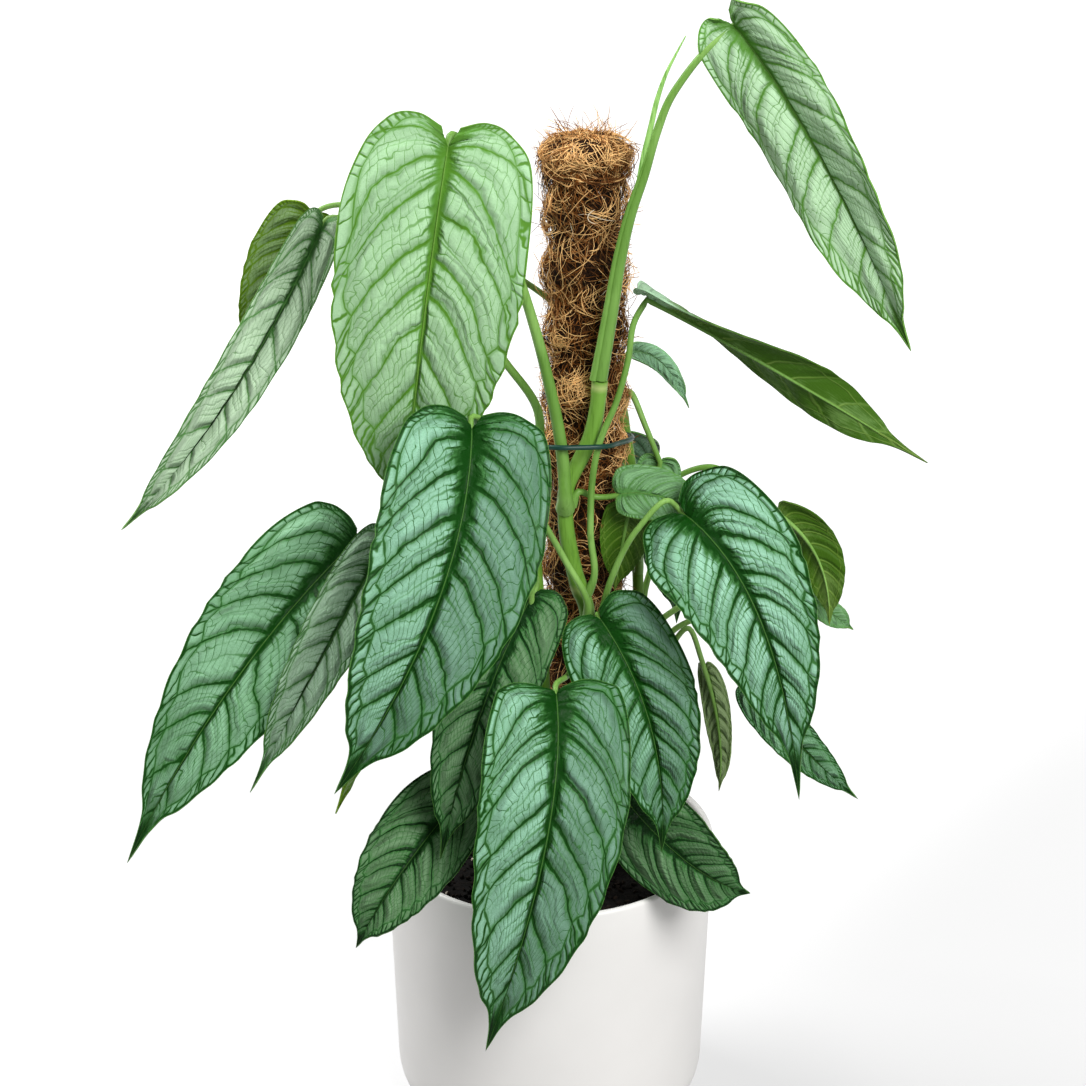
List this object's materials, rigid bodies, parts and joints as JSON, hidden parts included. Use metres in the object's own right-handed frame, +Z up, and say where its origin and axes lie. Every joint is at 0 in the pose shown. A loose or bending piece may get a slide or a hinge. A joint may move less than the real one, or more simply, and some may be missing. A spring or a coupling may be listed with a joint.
{
  "type": "potted monstera siltepecana",
  "caption": "Young climbing aroid with silvery veined leaves, tied to a coir pole in a plain white pot with a rounded base.",
  "frame": {"origin": "centre of the pot's flat underside", "axes": "+Z up along the pot's axis; +X to the viewer's right and -Y towards the viewer in the picture"},
  "size_m": [0.4293, 0.2699, 0.67],
  "materials": {
    "pot_white": "matte",
    "soil_brown": "matte",
    "stake_wood": "matte",
    "coir_brown": "matte",
    "tie_green": "satin",
    "stem_green": "satin",
    "leaf_green": "satin",
    "leaf_dark": "satin",
    "leaf_pale": "satin",
    "leaf_olive": "satin"
  },
  "bodies": {
    "root": {"pot": "pot_white", "soil": "soil_brown", "pole_stake": "stake_wood", "pole_coir": "coir_brown", "tie": "tie_green", "vine_main": "stem_green", "vine_left": "stem_green", "vine_back": "stem_green", "young_shoot": "stem_green", "leaf_top_right": "leaf_pale", "leaf_top_left": "leaf_pale", "leaf_outer_left": "leaf_pale", "leaf_outer_left_back": "leaf_pale", "leaf_front_centre": "leaf_dark", "leaf_outer_low_left": "leaf_green", "leaf_low_left": "leaf_green", "leaf_mid_left": "leaf_green", "leaf_front_low": "leaf_dark", "leaf_mid_right": "leaf_dark", "leaf_front_right": "leaf_dark", "leaf_right_back": "leaf_olive", "leaf_small_right_back": "leaf_green", "leaf_low_right": "leaf_green", "leaf_hanging_right": "leaf_olive", "leaf_rim_right": "leaf_dark", "leaf_rim_left": "leaf_dark", "leaf_under_left": "leaf_olive", "leaf_far_right": "leaf_green", "leaf_behind_pole": "leaf_green", "leaf_inner_pale": "leaf_pale", "leaf_inner_olive": "leaf_olive", "leaf_inner_right": "leaf_green", "leaf_small_back": "leaf_pale", "leaf_back": "leaf_green", "leaf_back_left": "leaf_green"}
  },
  "joints": []
}
